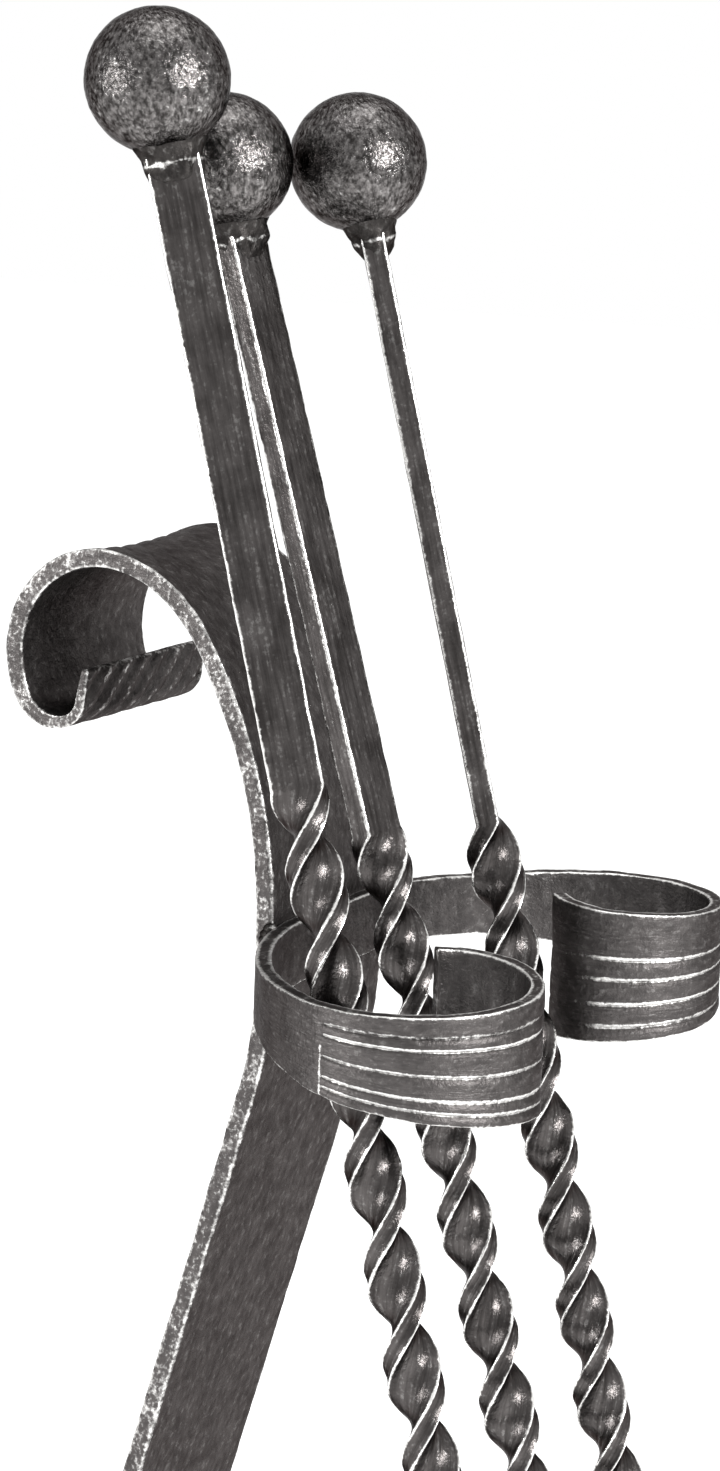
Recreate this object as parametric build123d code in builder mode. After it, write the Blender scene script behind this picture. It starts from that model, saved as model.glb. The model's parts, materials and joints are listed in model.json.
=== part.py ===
from build123d import *
from math import cos, radians, sin, sqrt, tan
import os

# Fireplace tool set. Z is up and the floor is Z = 0. The front is -Y. The origin is on the floor,
# under the middle of the set. All sizes are in millimetres.

# ---- flat bar stock
STEM_WIDTH = 60.0
STEM_THICK = 5.0
BAND_THICK = 4.0
BAR_WIDE = 13.0
BAR_THIN = 6.0

# ---- heights and places
BAND_HEIGHT = 415.0
STEM_FACE_Y = 40.0
DEPTH = 310.0

# ---- stem, following its front face: (radius, turn) of each bend, from the band upwards
STEM_STRAIGHT = 18.0
LEG_LEAN = 16.4
LEG_BEND = 98.0
HEEL_BEND = 20.0
SCROLL_BENDS = [(132.5, 33.0), (38.5, 48.0), (28.5, 124.0), (13.0, 83.5), (8.0, 64.0)]
SCROLL_LIP = 9.0

# ---- cross band, following its outer face from the middle of the stem to the tip of a ring
BAND_FLAT = 20.0
BAND_BENDS = [(70.0, 63.0), (32.0, 119.0), (27.0, 65.0), (18.5, 72.0)]
BAND_NARROW = 16.0
BAND_FLARED = 37.5
FLARE_START = 62.0
BAND_DROP = 8.4
DROP_START = 10.0
DROP_END = 175.0
ARM_SECTIONS = 44

# ---- base
FOOT_THICK = 6.0
FOOT_NARROW = 30.0
FOOT_FLARED = 44.0
FOOT_FLARE_LENGTH = 45.0
FOOT_CHAMFER = 1.0
FRONT_FOOT_LENGTH = 250.0
REAR_FOOT_LENGTH = 210.0
FRONT_FOOT_Y = -113.0
PAN_WIDTH = 248.0
PAN_DEPTH = 94.0
PAN_SHEET = 3.0
PAN_LIP = 8.0
PAN_CORNER = 10.0
RUN_Z = FOOT_THICK + STEM_THICK
PAN_FLOOR_Z = RUN_Z + PAN_SHEET
REST_GAP = 0.3

# ---- tools: centre of each knob, and where its shaft passes the height of the band
KNOB_RADIUS = 17.5
SPIGOT_RADIUS = 3.0
SPIGOT_LENGTH = 12.0
FLAT_LENGTH = 170.0
HALF_TURN = 24.0
COLLAR_RADIUS = 8.6
COLLAR_WAIST = 8.0
COLLAR_NECK = 5.2
COLLAR_LENGTH = 8.0
TOOLS = {
    "shovel": {"knob": (-64.8, 57.0, 632.2), "pass": (-67.5, -0.5, BAND_HEIGHT), "turn": 13 * 180 + 121},
    "poker": {"knob": (-21.0, 64.0, 611.3), "pass": (-18.0, 7.9, BAND_HEIGHT), "turn": 13 * 180 + 166},
    "brush": {"knob": (8.0, 42.0, 611.6), "pass": (16.5, -4.3, BAND_HEIGHT), "turn": 12 * 180 + 18},
}

# ---- shovel
BLADE_WIDE = 92.0
BLADE_TOP = 78.0
BLADE_LENGTH = 125.0
BLADE_SHEET = 2.0
BLADE_WALL = 18.0
BLADE_WALL_TIP = 5.0
BLADE_CORNER = 12.0
WALL_RISE = 0.7
TANG_START = 55.0
RIVET_HEIGHTS = (70.0, 105.0)
RIVET_RADIUS = 2.5
RIVET_HEAD = 5.0
RIVET_DOME = 2.0

# ---- poker
POINT_LENGTH = 70.0
POINT_TIP = 2.5
HOOK_HEIGHT = 78.0
HOOK_BAR = 6.0
HOOK_BEND = 16.0
HOOK_REACH = 14.0
HOOK_TAIL = 14.0
HOOK_WELD = 2.5
HOOK_TURN = 105.0
WELD_TAPER = 30.0

# ---- brush
CUP_RADIUS = 22.0
CUP_SHEET = 1.5
CUP_MOUTH = 66.0
CUP_SHOULDER = 88.0
CUP_TOP = 100.0
CUP_CROWN = 16.0
CUP_SLOPE = 2.0
CUP_WALL = 1.0
NECK_TOP = 126.0
NECK_RADIUS = 9.5
BLOCK_BOTTOM = 70.0
BRISTLE_SPREAD = 27.0
BRISTLE_BELOW = 15.0
PIN_RADIUS = 2.0
PIN_HEIGHT = 114.0
PIN_PROUD = 0.5

WELD = 4.0
FOOT_WELD = 2.4
FUSE = 0.1
OVERRUN = 1.0

os.makedirs("parts", exist_ok=True)


def save(piece, name):
    piece.label = name
    export_step(piece, f"parts/{name}.step")


# ---------------------------------------------------------------- stand

# The stem is one flat bar: along the floor, up the leg, past the band and round the scroll.
# The line drawn is the side of the bar that faces forward, seen from the +X side.
leg_turn = 90.0 + LEG_LEAN
lean = radians(LEG_LEAN)
with BuildPart() as stem:
    with BuildSketch(Plane.YZ.offset(-STEM_WIDTH / 2)):
        with BuildLine():
            band_low = (STEM_FACE_Y, BAND_HEIGHT - STEM_STRAIGHT / 2)
            band_high = (STEM_FACE_Y, BAND_HEIGHT + STEM_STRAIGHT / 2)
            Line(band_low, band_high)
            scroll_end = band_high
            heading = 90.0
            for radius, turn in SCROLL_BENDS:
                tangent = (cos(radians(heading)), sin(radians(heading)))
                bend = JernArc(scroll_end, tangent, radius, -turn)
                scroll_end = bend @ 1
                heading -= turn
            PolarLine(scroll_end, SCROLL_LIP, heading)
            # down from the band: a bow, the straight leg, the heel and the run along the floor
            bow = JernArc(band_low, (0, -1), LEG_BEND, LEG_LEAN)
            leg_top = bow @ 1
            leg_drop = leg_top.Y - RUN_Z - HEEL_BEND * (1 + sin(lean))
            leg_end = (leg_top.X + leg_drop * tan(lean), leg_top.Y - leg_drop)
            Line(leg_top, leg_end)
            heel = JernArc(leg_end, (sin(lean), -cos(lean)), HEEL_BEND, -leg_turn)
            Line(heel @ 1, (FRONT_FOOT_Y - FOOT_NARROW / 2, RUN_Z))
            offset(amount=STEM_THICK, side=Side.RIGHT)
        make_face()
    extrude(amount=STEM_WIDTH)
save(stem.part, "stem")

# The cross band is a strip on edge. It lies on the stem's face and each end turns forward into a
# ring and a curled tip. It widens and drops a little on the way. Sections stand across its line.
with BuildLine() as band_line:
    arm_end = (BAND_FLAT, STEM_FACE_Y)
    Line((0, STEM_FACE_Y), arm_end)
    heading = 0.0
    for radius, turn in BAND_BENDS:
        bend = JernArc(arm_end, (cos(radians(heading)), sin(radians(heading))), radius, -turn)
        arm_end = bend @ 1
        heading -= turn
arm = band_line.wire()


def smooth_step(value, low, high):
    part = min(max((value - low) / (high - low), 0.0), 1.0)
    return part * part * (3.0 - 2.0 * part)


def band_section(along, side):
    """Plane, height and centre of the strip at a distance along one arm; side is -1 or 1."""
    place = arm.position_at(along, position_mode=PositionMode.LENGTH)
    ahead = arm.tangent_at(along, position_mode=PositionMode.LENGTH)
    flare = max(along - FLARE_START, 0.0) / (arm.length - FLARE_START)
    height = BAND_NARROW + (BAND_FLARED - BAND_NARROW) * flare
    middle = BAND_HEIGHT - BAND_DROP * smooth_step(along, DROP_START, DROP_END)
    plane = Plane(origin=(side * place.X, place.Y, middle), x_dir=(ahead.Y * side, -ahead.X, 0),
                  z_dir=(ahead.X, ahead.Y * side, 0))
    return plane, height


with BuildPart() as cross_band:
    for index in range(-ARM_SECTIONS, ARM_SECTIONS + 1):
        side = -1 if index < 0 else 1
        plane, height = band_section(arm.length * abs(index) / ARM_SECTIONS, side)
        with BuildSketch(plane):
            with Locations((BAND_THICK / 2, 0)):
                Rectangle(BAND_THICK, height)
    loft()
save(cross_band.part, "cross_band")


def corner_weld(plane, length, radius, corners):
    """Quarter-round beads run along a plane's normal, each filling one corner (x, y, first angle)."""
    with BuildPart() as bead:
        with BuildSketch(plane):
            for x, y, angle in corners:
                with BuildLine():
                    quarter = CenterArc((x, y), radius, angle, 90)
                    Line((x, y), quarter @ 0)
                    Line((x, y), quarter @ 1)
                make_face()
        extrude(amount=length)
    return bead.part


# Beads in the corners between the stem's edges and the back of the cross band.
half_stem = STEM_WIDTH / 2
bead_plane = Plane.XY.offset(BAND_HEIGHT - BAND_NARROW / 2)
bead_corners = [(half_stem, STEM_FACE_Y, 0), (-half_stem, STEM_FACE_Y, 90)]
save(corner_weld(bead_plane, BAND_NARROW, WELD, bead_corners), "band_welds")


def cross_foot(length, middle_y):
    """A flat bar across the floor whose two ends are spread and rounded."""
    inner = length / 2 - FOOT_FLARE_LENGTH
    corner = length / 2 - FOOT_FLARED / 6
    narrow = FOOT_NARROW / 2
    flared = FOOT_FLARED / 2
    with BuildPart() as foot:
        with BuildSketch():
            with BuildLine():
                for side in (-1, 1):
                    Line((-inner, side * narrow), (inner, side * narrow))
                    TangentArc((side * inner, narrow), (side * corner, flared), tangent=(side, 0))
                    TangentArc((side * inner, -narrow), (side * corner, -flared), tangent=(side, 0))
                    tip = (side * length / 2, 0)
                    ThreePointArc((side * corner, flared), tip, (side * corner, -flared))
            make_face()
        extrude(amount=FOOT_THICK)
        chamfer(foot.faces().sort_by(Axis.Z)[-1].edges(), FOOT_CHAMFER)
    return Pos(0, middle_y, 0) * foot.part


REAR_FOOT_Y = DEPTH / 2 - FOOT_FLARED / 2
save(cross_foot(FRONT_FOOT_LENGTH, FRONT_FOOT_Y), "front_foot")
save(cross_foot(REAR_FOOT_LENGTH, REAR_FOOT_Y), "rear_foot")

# Beads along the stem's edges where it lies on the feet and where the pan lies on the stem.
foot_beads = [(half_stem, FOOT_THICK, 0), (-half_stem, FOOT_THICK, 90)]
with BuildPart() as foot_welds:
    for middle_y in (FRONT_FOOT_Y, REAR_FOOT_Y):
        start = Plane(origin=(0, middle_y + FOOT_NARROW / 3, 0), x_dir=(1, 0, 0), z_dir=(0, -1, 0))
        add(corner_weld(start, FOOT_NARROW * 2 / 3, FOOT_WELD, foot_beads))
save(foot_welds.part, "foot_welds")

# The pan stands on the run of the stem and carries the tips of the tools.
PAN_Y = -DEPTH / 2 + PAN_DEPTH / 2
with BuildPart() as hearth_pan:
    with BuildSketch(Plane.XY.offset(RUN_Z)):
        with Locations((0, PAN_Y)):
            RectangleRounded(PAN_WIDTH, PAN_DEPTH, PAN_CORNER)
    extrude(amount=PAN_SHEET + PAN_LIP)
    with BuildSketch(Plane.XY.offset(PAN_FLOOR_Z)):
        with Locations((0, PAN_Y)):
            inner_corner = PAN_CORNER - PAN_SHEET
            RectangleRounded(PAN_WIDTH - 2 * PAN_SHEET, PAN_DEPTH - 2 * PAN_SHEET, inner_corner)
    extrude(amount=PAN_LIP, mode=Mode.SUBTRACT)
save(hearth_pan.part, "hearth_pan")

pan_beads = [(half_stem, RUN_Z, -90), (-half_stem, RUN_Z, 180)]
pan_start = Plane(origin=(0, PAN_Y + PAN_DEPTH / 3, 0), x_dir=(1, 0, 0), z_dir=(0, -1, 0))
save(corner_weld(pan_start, PAN_DEPTH * 2 / 3, FOOT_WELD, pan_beads), "pan_welds")

# ---------------------------------------------------------------- tools

# Each tool has its own frame: origin at its lower tip, Z up its shaft, X level and across the set.


def tool_frame(name, tip_depth):
    """The tool's frame and the height of its knob's centre; tip_depth is how far its tip is behind."""
    knob_centre = Vector(*TOOLS[name]["knob"])
    axis = (knob_centre - Vector(*TOOLS[name]["pass"])).normalized()
    drop = knob_centre.Z - PAN_FLOOR_Z - REST_GAP - tip_depth * axis.Y
    length = drop / axis.Z
    return Plane(origin=knob_centre - axis * length, x_dir=(axis.Y, -axis.X, 0), z_dir=axis), length


def profile_plane(frame, height=0.0):
    """The plane through the shaft's line with X across and Y up the shaft."""
    origin = frame.from_local_coords((0, 0, height))
    return Plane(origin=origin, x_dir=frame.x_dir, z_dir=-frame.y_dir)


def turned(frame, points):
    """A solid turned about the shaft's line from an outline of (radius, height) points."""
    with BuildPart() as piece:
        with BuildSketch(profile_plane(frame)):
            with BuildLine():
                Polyline(*points, close=True)
            make_face()
        revolve(axis=Axis(frame.origin, frame.z_dir))
    return piece.part


def bar_between(frame, low, high, turn=0.0):
    """A plain length of the tool bar, turned about the shaft's line."""
    across = frame.x_dir * cos(radians(turn)) + frame.y_dir * sin(radians(turn))
    with BuildPart() as piece:
        with BuildSketch(Plane(origin=frame.offset(low).origin, x_dir=across, z_dir=frame.z_dir)):
            Rectangle(BAR_WIDE, BAR_THIN)
        extrude(amount=high - low)
    return piece.part


def pin_through(frame, height, radius, low, high):
    """A pin across the thin way of the bar, from low to high on the frame's Y."""
    start = frame.from_local_coords((0, low, height))
    with BuildPart() as piece:
        with BuildSketch(Plane(origin=start, x_dir=frame.x_dir, z_dir=frame.y_dir)):
            Circle(radius)
        extrude(amount=high - low)
    return piece.part


def tool_knob(frame, length):
    """A solid ball with a blind hole for the spigot."""
    with BuildPart() as ball:
        with BuildSketch(profile_plane(frame, length)):
            with BuildLine():
                half = CenterArc((0, 0), KNOB_RADIUS, -90, 180)
                Line(half @ 0, half @ 1)
            make_face()
        revolve(axis=Axis(frame.from_local_coords((0, 0, length)), frame.z_dir))
        with BuildSketch(frame.offset(length - KNOB_RADIUS - OVERRUN)):
            Circle(SPIGOT_RADIUS)
        extrude(amount=SPIGOT_LENGTH + OVERRUN, mode=Mode.SUBTRACT)
    return ball.part


def tool_shaft(frame, length, turn, low_end):
    """Spigot, flat handle bar, twisted bar and the straight end that carries the head."""
    shoulder = length - KNOB_RADIUS
    twist_top = length - FLAT_LENGTH
    twist_length = turn / 180 * HALF_TURN
    twist_low = twist_top - twist_length
    with BuildSketch(frame.offset(twist_low)) as section:
        Rectangle(BAR_WIDE, BAR_THIN)
    twist = Solid.extrude_linear_with_rotation(section.sketch.faces()[0], frame.offset(twist_low).origin,
                                               frame.z_dir * twist_length, turn)
    with BuildPart() as bar:
        add(twist)
        add(bar_between(frame, twist_top - FUSE, shoulder, turn))
        add(bar_between(frame, low_end, twist_low + FUSE))
        with BuildSketch(frame.offset(shoulder)):
            Circle(SPIGOT_RADIUS)
        extrude(amount=SPIGOT_LENGTH)
    return bar.part


def collar(frame, length, turn):
    """The lump of weld between the knob and the top of the bar."""
    shoulder = length - KNOB_RADIUS
    inner_top = (SPIGOT_RADIUS, length - sqrt(KNOB_RADIUS**2 - SPIGOT_RADIUS**2))
    outer_top = (COLLAR_RADIUS, length - sqrt(KNOB_RADIUS**2 - COLLAR_RADIUS**2))
    with BuildPart() as lump:
        with BuildSketch(profile_plane(frame)):
            with BuildLine():
                RadiusArc(inner_top, outer_top, -KNOB_RADIUS)
                side = ThreePointArc(outer_top, (COLLAR_WAIST, shoulder - COLLAR_LENGTH / 2),
                                     (COLLAR_NECK, shoulder - COLLAR_LENGTH))
                Polyline(side @ 1, (SPIGOT_RADIUS, shoulder - COLLAR_LENGTH), inner_top)
            make_face()
        revolve(axis=Axis(frame.origin, frame.z_dir))
        core_low = shoulder - COLLAR_LENGTH - OVERRUN
        add(bar_between(frame, core_low, shoulder, turn), mode=Mode.SUBTRACT)
    return lump.part


def save_handle(name, frame, length):
    save(tool_knob(frame, length), name + "_knob")
    save(collar(frame, length, TOOLS[name]["turn"]), name + "_collar")


# Shovel: the bar's flat end lies on the back of a pressed sheet blade, held by two rivets.
blade_back = -BAR_THIN / 2
shovel, shovel_length = tool_frame("shovel", blade_back)
with BuildPart() as shovel_blade:
    with BuildSketch(Plane(origin=shovel.from_local_coords((0, blade_back, 0)), x_dir=shovel.x_dir,
                           z_dir=-shovel.y_dir)):
        with BuildLine():
            corners = [(-BLADE_WIDE / 2, 0), (BLADE_WIDE / 2, 0), (BLADE_TOP / 2, BLADE_LENGTH),
                       (-BLADE_TOP / 2, BLADE_LENGTH)]
            Polyline(*corners, close=True)
        make_face()
    extrude(amount=BLADE_WALL)
    upright = shovel_blade.edges().filter_by(Axis(shovel.origin, shovel.y_dir))
    top_corners = upright.sort_by(Axis(shovel.origin, shovel.z_dir))[-2:]
    fillet(top_corners, BLADE_CORNER)
    front = shovel_blade.faces().sort_by(Axis(shovel.origin, shovel.y_dir))[0]
    tip = shovel_blade.faces().sort_by(Axis(shovel.origin, shovel.z_dir))[0]
    offset(amount=-BLADE_SHEET, openings=[front, tip])
    # the side walls grow from the tip to the back of the blade
    with BuildSketch(Plane(origin=shovel.origin, x_dir=shovel.y_dir, z_dir=shovel.x_dir)):
        with BuildLine():
            wall_low = (blade_back - BLADE_SHEET - BLADE_WALL_TIP, 0)
            wall_high = (blade_back - BLADE_WALL, BLADE_LENGTH * WALL_RISE)
            clear = blade_back - 2 * BLADE_WALL
            Polyline(wall_low, wall_high, (clear, wall_high[1]), (clear, 0), close=True)
        make_face()
    extrude(amount=BLADE_WIDE, both=True, mode=Mode.SUBTRACT)
    for height in RIVET_HEIGHTS:
        add(pin_through(shovel, height, RIVET_RADIUS, -BLADE_WALL, 0), mode=Mode.SUBTRACT)
save(shovel_blade.part, "shovel_blade")

with BuildPart() as shovel_shaft:
    add(tool_shaft(shovel, shovel_length, TOOLS["shovel"]["turn"], TANG_START))
    for height in RIVET_HEIGHTS:
        add(pin_through(shovel, height, RIVET_RADIUS, -BAR_THIN, BAR_THIN), mode=Mode.SUBTRACT)
save(shovel_shaft.part, "shovel_shaft")
save_handle("shovel", shovel, shovel_length)


def rivet(frame, height):
    """A round-headed rivet through the blade and the bar, domed on both sides."""
    front_face = blade_back - BLADE_SHEET
    back_face = BAR_THIN / 2
    plane = Plane(origin=frame.from_local_coords((0, 0, height)), x_dir=frame.x_dir, z_dir=frame.z_dir)
    with BuildPart() as piece:
        with BuildSketch(plane):
            with BuildLine():
                front_top = (0, front_face - RIVET_DOME)
                back_top = (0, back_face + RIVET_DOME)
                TangentArc(front_top, (RIVET_HEAD, front_face), tangent=(1, 0))
                Polyline((RIVET_HEAD, front_face), (RIVET_RADIUS, front_face), (RIVET_RADIUS, back_face),
                         (RIVET_HEAD, back_face))
                TangentArc(back_top, (RIVET_HEAD, back_face), tangent=(1, 0))
                Line(back_top, front_top)
            make_face()
        revolve(axis=Axis(plane.origin, frame.y_dir))
    return piece.part


with BuildPart() as shovel_rivets:
    for height in RIVET_HEIGHTS:
        add(rivet(shovel, height))
save(shovel_rivets.part, "shovel_rivets")

# Poker: the bar is drawn out to a blunt point and a curved spur is welded to its front.
poker, poker_length = tool_frame("poker", POINT_TIP / 2)
with BuildPart() as poker_shaft:
    add(tool_shaft(poker, poker_length, TOOLS["poker"]["turn"], POINT_LENGTH - FUSE))
    with BuildSketch(poker):
        Rectangle(POINT_TIP, POINT_TIP)
    with BuildSketch(poker.offset(POINT_LENGTH)):
        Rectangle(BAR_WIDE, BAR_THIN)
    loft(ruled=True)
save(poker_shaft.part, "poker_shaft")
save_handle("poker", poker, poker_length)

side_plane = Plane(origin=poker.origin, x_dir=-poker.y_dir, z_dir=-poker.x_dir)
with BuildPart() as poker_hook:
    with BuildLine(side_plane) as hook_line:
        out = Line((BAR_THIN / 2, HOOK_HEIGHT), (BAR_THIN / 2 + HOOK_REACH, HOOK_HEIGHT))
        bend = JernArc(out @ 1, out % 1, HOOK_BEND, HOOK_TURN)
        PolarLine(bend @ 1, HOOK_TAIL, direction=bend % 1)
    with BuildSketch(Plane(origin=hook_line.line @ 0, x_dir=poker.x_dir, z_dir=hook_line.line % 0)):
        Rectangle(HOOK_BAR, HOOK_BAR)
    sweep(path=hook_line.line)
save(poker_hook.part, "poker_hook")

with BuildPart() as poker_hook_weld:
    with BuildSketch(Plane(origin=hook_line.line @ 0, x_dir=poker.x_dir, z_dir=-poker.y_dir)):
        RectangleRounded(HOOK_BAR + 2 * HOOK_WELD, HOOK_BAR + 2 * HOOK_WELD, HOOK_WELD)
    extrude(amount=HOOK_WELD, taper=WELD_TAPER)
    add(poker_hook.part, mode=Mode.SUBTRACT)
save(poker_hook_weld.part, "poker_hook_weld")

# Brush: a turned steel cup holds a wooden block with the bristles; a pin fixes the cup to the bar.
brush, brush_length = tool_frame("brush", 0.0)
pin_reach = NECK_RADIUS + PIN_PROUD
pin = pin_through(brush, PIN_HEIGHT, PIN_RADIUS, -pin_reach, pin_reach)
with BuildPart() as brush_shaft:
    add(tool_shaft(brush, brush_length, TOOLS["brush"]["turn"], BLOCK_BOTTOM))
    add(pin, mode=Mode.SUBTRACT)
save(brush_shaft.part, "brush_shaft")
save_handle("brush", brush, brush_length)
save(pin, "brush_pin")

core = bar_between(brush, BLOCK_BOTTOM, NECK_TOP + OVERRUN)
inside = CUP_RADIUS - CUP_SHEET
cup_outline = [(inside, CUP_MOUTH), (CUP_RADIUS, CUP_MOUTH), (CUP_RADIUS, CUP_SHOULDER),
               (CUP_CROWN, CUP_TOP - CUP_SLOPE), (NECK_RADIUS, CUP_TOP + CUP_SLOPE), (NECK_RADIUS, NECK_TOP),
               (0, NECK_TOP), (0, CUP_TOP), (NECK_RADIUS, CUP_TOP - CUP_WALL),
               (inside, CUP_SHOULDER - CUP_WALL)]
with BuildPart() as brush_cup:
    add(turned(brush, cup_outline))
    add(core, mode=Mode.SUBTRACT)
    add(pin, mode=Mode.SUBTRACT)
save(brush_cup.part, "brush_cup")

block_outline = [(0, BLOCK_BOTTOM), (inside, BLOCK_BOTTOM), (inside, CUP_SHOULDER - CUP_WALL),
                 (NECK_RADIUS, CUP_TOP - CUP_WALL), (0, CUP_TOP)]
with BuildPart() as brush_block:
    add(turned(brush, block_outline))
    add(core, mode=Mode.SUBTRACT)
save(brush_block.part, "brush_block")

bristle_outline = [(0, -BRISTLE_BELOW), (BRISTLE_SPREAD, -BRISTLE_BELOW), (inside, CUP_MOUTH),
                   (inside, BLOCK_BOTTOM), (0, BLOCK_BOTTOM)]
with BuildPart() as brush_bristles:
    add(turned(brush, bristle_outline))
    split(bisect_by=Plane.XY.offset(PAN_FLOOR_Z + REST_GAP), keep=Keep.TOP)
save(brush_bristles.part, "brush_bristles")
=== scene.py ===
import json
import math

import bpy
import numpy as np
from mathutils import Matrix, Vector, noise


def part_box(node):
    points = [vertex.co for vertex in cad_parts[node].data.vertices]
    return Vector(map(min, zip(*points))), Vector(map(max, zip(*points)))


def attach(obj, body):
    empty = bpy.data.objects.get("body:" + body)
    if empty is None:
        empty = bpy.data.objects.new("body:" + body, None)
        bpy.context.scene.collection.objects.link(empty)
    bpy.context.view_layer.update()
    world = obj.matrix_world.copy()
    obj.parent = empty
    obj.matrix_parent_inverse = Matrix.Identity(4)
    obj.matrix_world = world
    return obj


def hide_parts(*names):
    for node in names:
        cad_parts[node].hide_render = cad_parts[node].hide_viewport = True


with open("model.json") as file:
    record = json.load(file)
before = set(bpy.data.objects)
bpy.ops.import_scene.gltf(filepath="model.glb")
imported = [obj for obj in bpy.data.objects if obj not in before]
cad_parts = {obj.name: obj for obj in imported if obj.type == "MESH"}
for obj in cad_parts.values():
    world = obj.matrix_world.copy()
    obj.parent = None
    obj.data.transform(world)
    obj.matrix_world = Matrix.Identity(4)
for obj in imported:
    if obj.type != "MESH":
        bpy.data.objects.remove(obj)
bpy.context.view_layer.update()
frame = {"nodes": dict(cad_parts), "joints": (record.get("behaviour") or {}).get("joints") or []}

# Sizes are in metres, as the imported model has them.
STEM_WIDTH = 0.060
STEM_THICK = 0.005
BAND_THICK = 0.004
BAR_WIDE = 0.013
BAR_THIN = 0.006
BAND_HEIGHT = 0.415
STEM_FACE_Y = 0.040
RUN_Z = 0.011
PAN_FLOOR_Z = 0.014
TIP_Z = PAN_FLOOR_Z + 0.0003
KNOB_RADIUS = 0.0175
FLAT_LENGTH = 0.170
HALF_TURN = 0.024
STEM_STRAIGHT = 0.018
LEG_LEAN = 16.4
LEG_BEND = 0.098
HEEL_BEND = 0.020
BAND_NARROW = 0.016
BAND_FLARED = 0.0375
FLARE_START = 0.062
BAND_DROP = 0.0084
DROP_START = 0.010
DROP_END = 0.175

# (radius, turn) of each bend, or (None, length) of each straight
SCROLL = [(0.1325, -33), (0.0385, -48), (0.0285, -124), (0.013, -83.5), (0.008, -64), (None, 0.009)]
ARM = [(None, 0.020), (0.070, -63), (0.032, -119), (0.027, -65), (0.0185, -72)]

TOOLS = {
    "shovel": {"turn": 13 * 180 + 121, "low": 0.055, "behind": -0.003},
    "poker": {"turn": 13 * 180 + 166, "low": 0.0, "behind": 0.00125},
    "brush": {"turn": 12 * 180 + 18, "low": 0.072, "behind": 0.0},
}


# ------------------------------------------------------------------ camera

def unit(v):
    v = np.asarray(v, float)
    return v / np.linalg.norm(v)


CAMERA_PLACE = (-0.8660, -0.4260, 0.6599)
SENSOR_HEIGHT = 24.0
CAMERA_LENS = 64.0054

azimuth, elevation, roll = math.radians(-62.1), math.radians(11.1), math.radians(1.63)
back = np.array([math.sin(azimuth) * math.cos(elevation),
                 -math.cos(azimuth) * math.cos(elevation),
                 math.sin(elevation)])
level = np.array([math.cos(azimuth), math.sin(azimuth), 0.0])
raised = np.cross(back, level)
right = math.cos(roll) * level + math.sin(roll) * raised
up = math.cos(roll) * raised - math.sin(roll) * level

camera = bpy.data.objects.new("camera", bpy.data.cameras.new("camera"))
bpy.context.scene.collection.objects.link(camera)
camera_rows = [[right[i], up[i], back[i], CAMERA_PLACE[i]] for i in range(3)]
camera.matrix_world = Matrix(camera_rows + [[0, 0, 0, 1]])
camera.data.sensor_fit = "VERTICAL"
camera.data.sensor_height = SENSOR_HEIGHT
camera.data.lens = CAMERA_LENS
camera.data.clip_start = 0.05
camera.data.clip_end = 50.0
bpy.context.scene.camera = camera


# ------------------------------------------------------------------ materials

def link_value(tree, socket, value):
    if isinstance(value, bpy.types.NodeSocket):
        tree.links.new(value, socket)
    else:
        socket.default_value = value


def math_node(tree, operation, a, b=0.0, clamp=False):
    node = tree.nodes.new("ShaderNodeMath")
    node.operation = operation
    node.use_clamp = clamp
    link_value(tree, node.inputs[0], a)
    link_value(tree, node.inputs[1], b)
    return node.outputs[0]


def times(tree, a, b):
    return math_node(tree, "MULTIPLY", a, b)


def plus(tree, a, b, clamp=False):
    return math_node(tree, "ADD", a, b, clamp)


def step_node(tree, value, low, high):
    node = tree.nodes.new("ShaderNodeMapRange")
    node.interpolation_type = "SMOOTHSTEP"
    link_value(tree, node.inputs["Value"], value)
    node.inputs["From Min"].default_value = low
    node.inputs["From Max"].default_value = high
    return node.outputs[0]


def mix_colour(tree, factor, a, b):
    node = tree.nodes.new("ShaderNodeMix")
    node.data_type = "RGBA"
    link_value(tree, node.inputs[0], factor)
    link_value(tree, node.inputs[6], a if isinstance(a, bpy.types.NodeSocket) else (*a, 1.0))
    link_value(tree, node.inputs[7], b if isinstance(b, bpy.types.NodeSocket) else (*b, 1.0))
    return node.outputs[2]


def mix_value(tree, factor, a, b):
    node = tree.nodes.new("ShaderNodeMix")
    node.data_type = "FLOAT"
    link_value(tree, node.inputs[0], factor)
    link_value(tree, node.inputs[2], a)
    link_value(tree, node.inputs[3], b)
    return node.outputs[0]


def noise_node(tree, vector, scale, detail=4.0, rough=0.55, stretch=None):
    if stretch:
        mapping = tree.nodes.new("ShaderNodeMapping")
        mapping.inputs["Scale"].default_value = stretch
        tree.links.new(vector, mapping.inputs["Vector"])
        vector = mapping.outputs[0]
    node = tree.nodes.new("ShaderNodeTexNoise")
    tree.links.new(vector, node.inputs["Vector"])
    node.inputs["Scale"].default_value = scale
    node.inputs["Detail"].default_value = detail
    node.inputs["Roughness"].default_value = rough
    return node.outputs[0]


def new_material(name):
    material = bpy.data.materials.new(name)
    material.use_nodes = True
    tree = material.node_tree
    shader = tree.nodes["Principled BSDF"]
    places = tree.nodes.new("ShaderNodeTexCoord").outputs["Object"]
    return material, tree, shader, places


def set_bump(tree, shader, height, distance):
    bump = tree.nodes.new("ShaderNodeBump")
    bump.inputs["Strength"].default_value = 1.0
    bump.inputs["Distance"].default_value = distance
    tree.links.new(height, bump.inputs["Height"])
    tree.links.new(bump.outputs[0], shader.inputs["Normal"])


SILVER = (0.86, 0.85, 0.83)


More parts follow.
